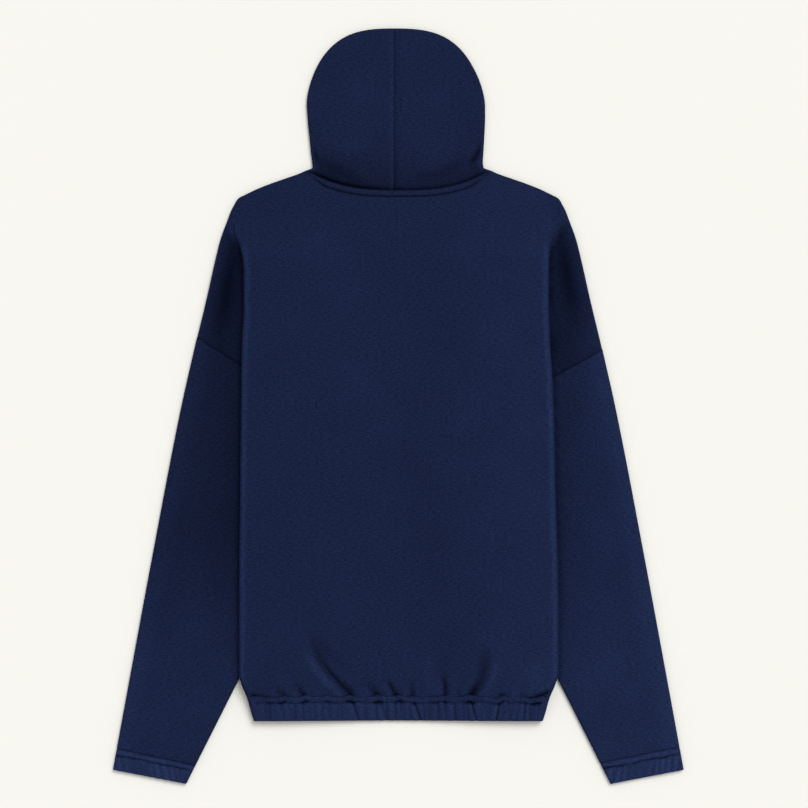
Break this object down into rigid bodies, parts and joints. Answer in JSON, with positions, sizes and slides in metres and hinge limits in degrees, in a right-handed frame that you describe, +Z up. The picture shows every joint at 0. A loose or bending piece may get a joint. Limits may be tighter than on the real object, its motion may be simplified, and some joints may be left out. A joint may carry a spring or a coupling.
{
  "type": "zip-up hoodie",
  "caption": "Oversized zip-up hoodie in plain fleece, laid flat face down with its hood spread and its sleeves beside the body.",
  "frame": {"origin": "centre of the garment's outline, on the surface it lies on", "axes": "+X to the right as seen from above, +Y from the hem towards the hood, +Z up out of the back"},
  "size_m": [0.685, 0.9065, 0.0194],
  "materials": {
    "fleece": "brushed cotton fleece, navy, matt with a short nap",
    "zip_tape": "woven navy tape with a moulded chain",
    "zip_metal": "satin nickel plate"
  },
  "bodies": {
    "garment": {"back_panel": "fleece", "front_left": "fleece", "front_right": "fleece", "sleeve_left": "fleece", "sleeve_right": "fleece", "cuff_left": "fleece", "cuff_right": "fleece", "hem_band": "fleece", "hood_left": "fleece", "hood_right": "fleece", "zip_tape": "zip_tape", "zip_slider": "zip_metal", "zip_box": "zip_metal"},
    "pull": {"zip_pull": "zip_metal"}
  },
  "joints": [
    {"name": "pull_swing", "type": "hinge", "parent": "garment", "child": "pull", "pos_m": [0, 0.1932, 0.00172], "axis": [1, 0, 0], "range_deg": [0, 170]}
  ]
}
